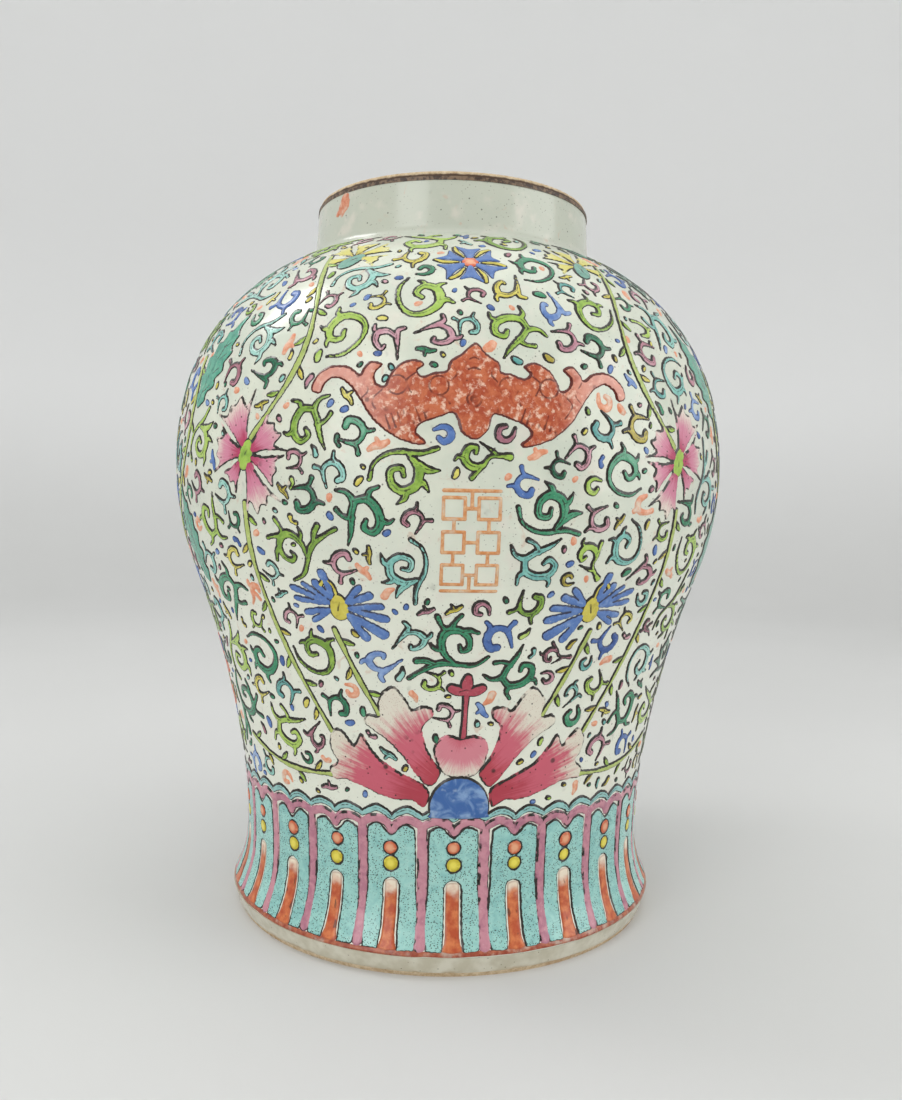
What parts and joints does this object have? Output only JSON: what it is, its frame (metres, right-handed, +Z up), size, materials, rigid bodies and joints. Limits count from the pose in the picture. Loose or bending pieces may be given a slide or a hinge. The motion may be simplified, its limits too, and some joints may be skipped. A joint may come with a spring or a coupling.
{
  "type": "ginger jar",
  "caption": "Open porcelain baluster jar with a short neck, flared foot and raised enamels: a lappet border, lotus, blossoms, bats and dense leafy scrolls.",
  "frame": {"origin": "centre of the foot ring, on the surface the jar stands on", "axes": "+Z up the jar's axis to the lip; the main side of the decoration faces -Y; +X to its right"},
  "size_m": [0.2584, 0.2594, 0.33],
  "materials": {
    "biscuit": "matt, unglazed",
    "slip": "matt",
    "clear_glaze": "gloss",
    "foot_glaze": "gloss",
    "brown_glaze_edge": "satin",
    "iron_red": "satin",
    "turquoise": "gloss",
    "mauve_pink": "gloss",
    "yellow": "gloss",
    "coral": "gloss",
    "rose": "gloss",
    "cobalt": "gloss",
    "leaf_green": "gloss"
  },
  "bodies": {
    "root": {"foot_ring": "biscuit", "base_plate": "biscuit", "lower_body": "biscuit", "upper_body": "biscuit", "neck_collar": "biscuit", "body_luting_seam": "slip", "neck_luting_seam": "slip", "outer_glaze": "clear_glaze", "inner_glaze": "clear_glaze", "base_glaze": "clear_glaze", "foot_glaze": "foot_glaze", "lip_line": "brown_glaze_edge", "foot_line": "iron_red", "lappet_tongues": "iron_red", "lappet_panels": "turquoise", "lappet_frames": "mauve_pink", "lappet_crest": "turquoise", "lappet_coral_beads": "coral", "lappet_yellow_beads": "yellow", "lotus_bosses": "cobalt", "lotus_hearts": "rose", "lotus_inner_petals": "rose", "lotus_outer_petals": "rose", "bat_emblems": "iron_red", "fret_emblems": "coral", "blue_blossoms": "cobalt", "pink_blossoms": "rose", "yellow_blossoms": "yellow", "star_blossoms": "cobalt", "side_blossoms": "iron_red", "vine_stems": "leaf_green"}
  },
  "joints": []
}
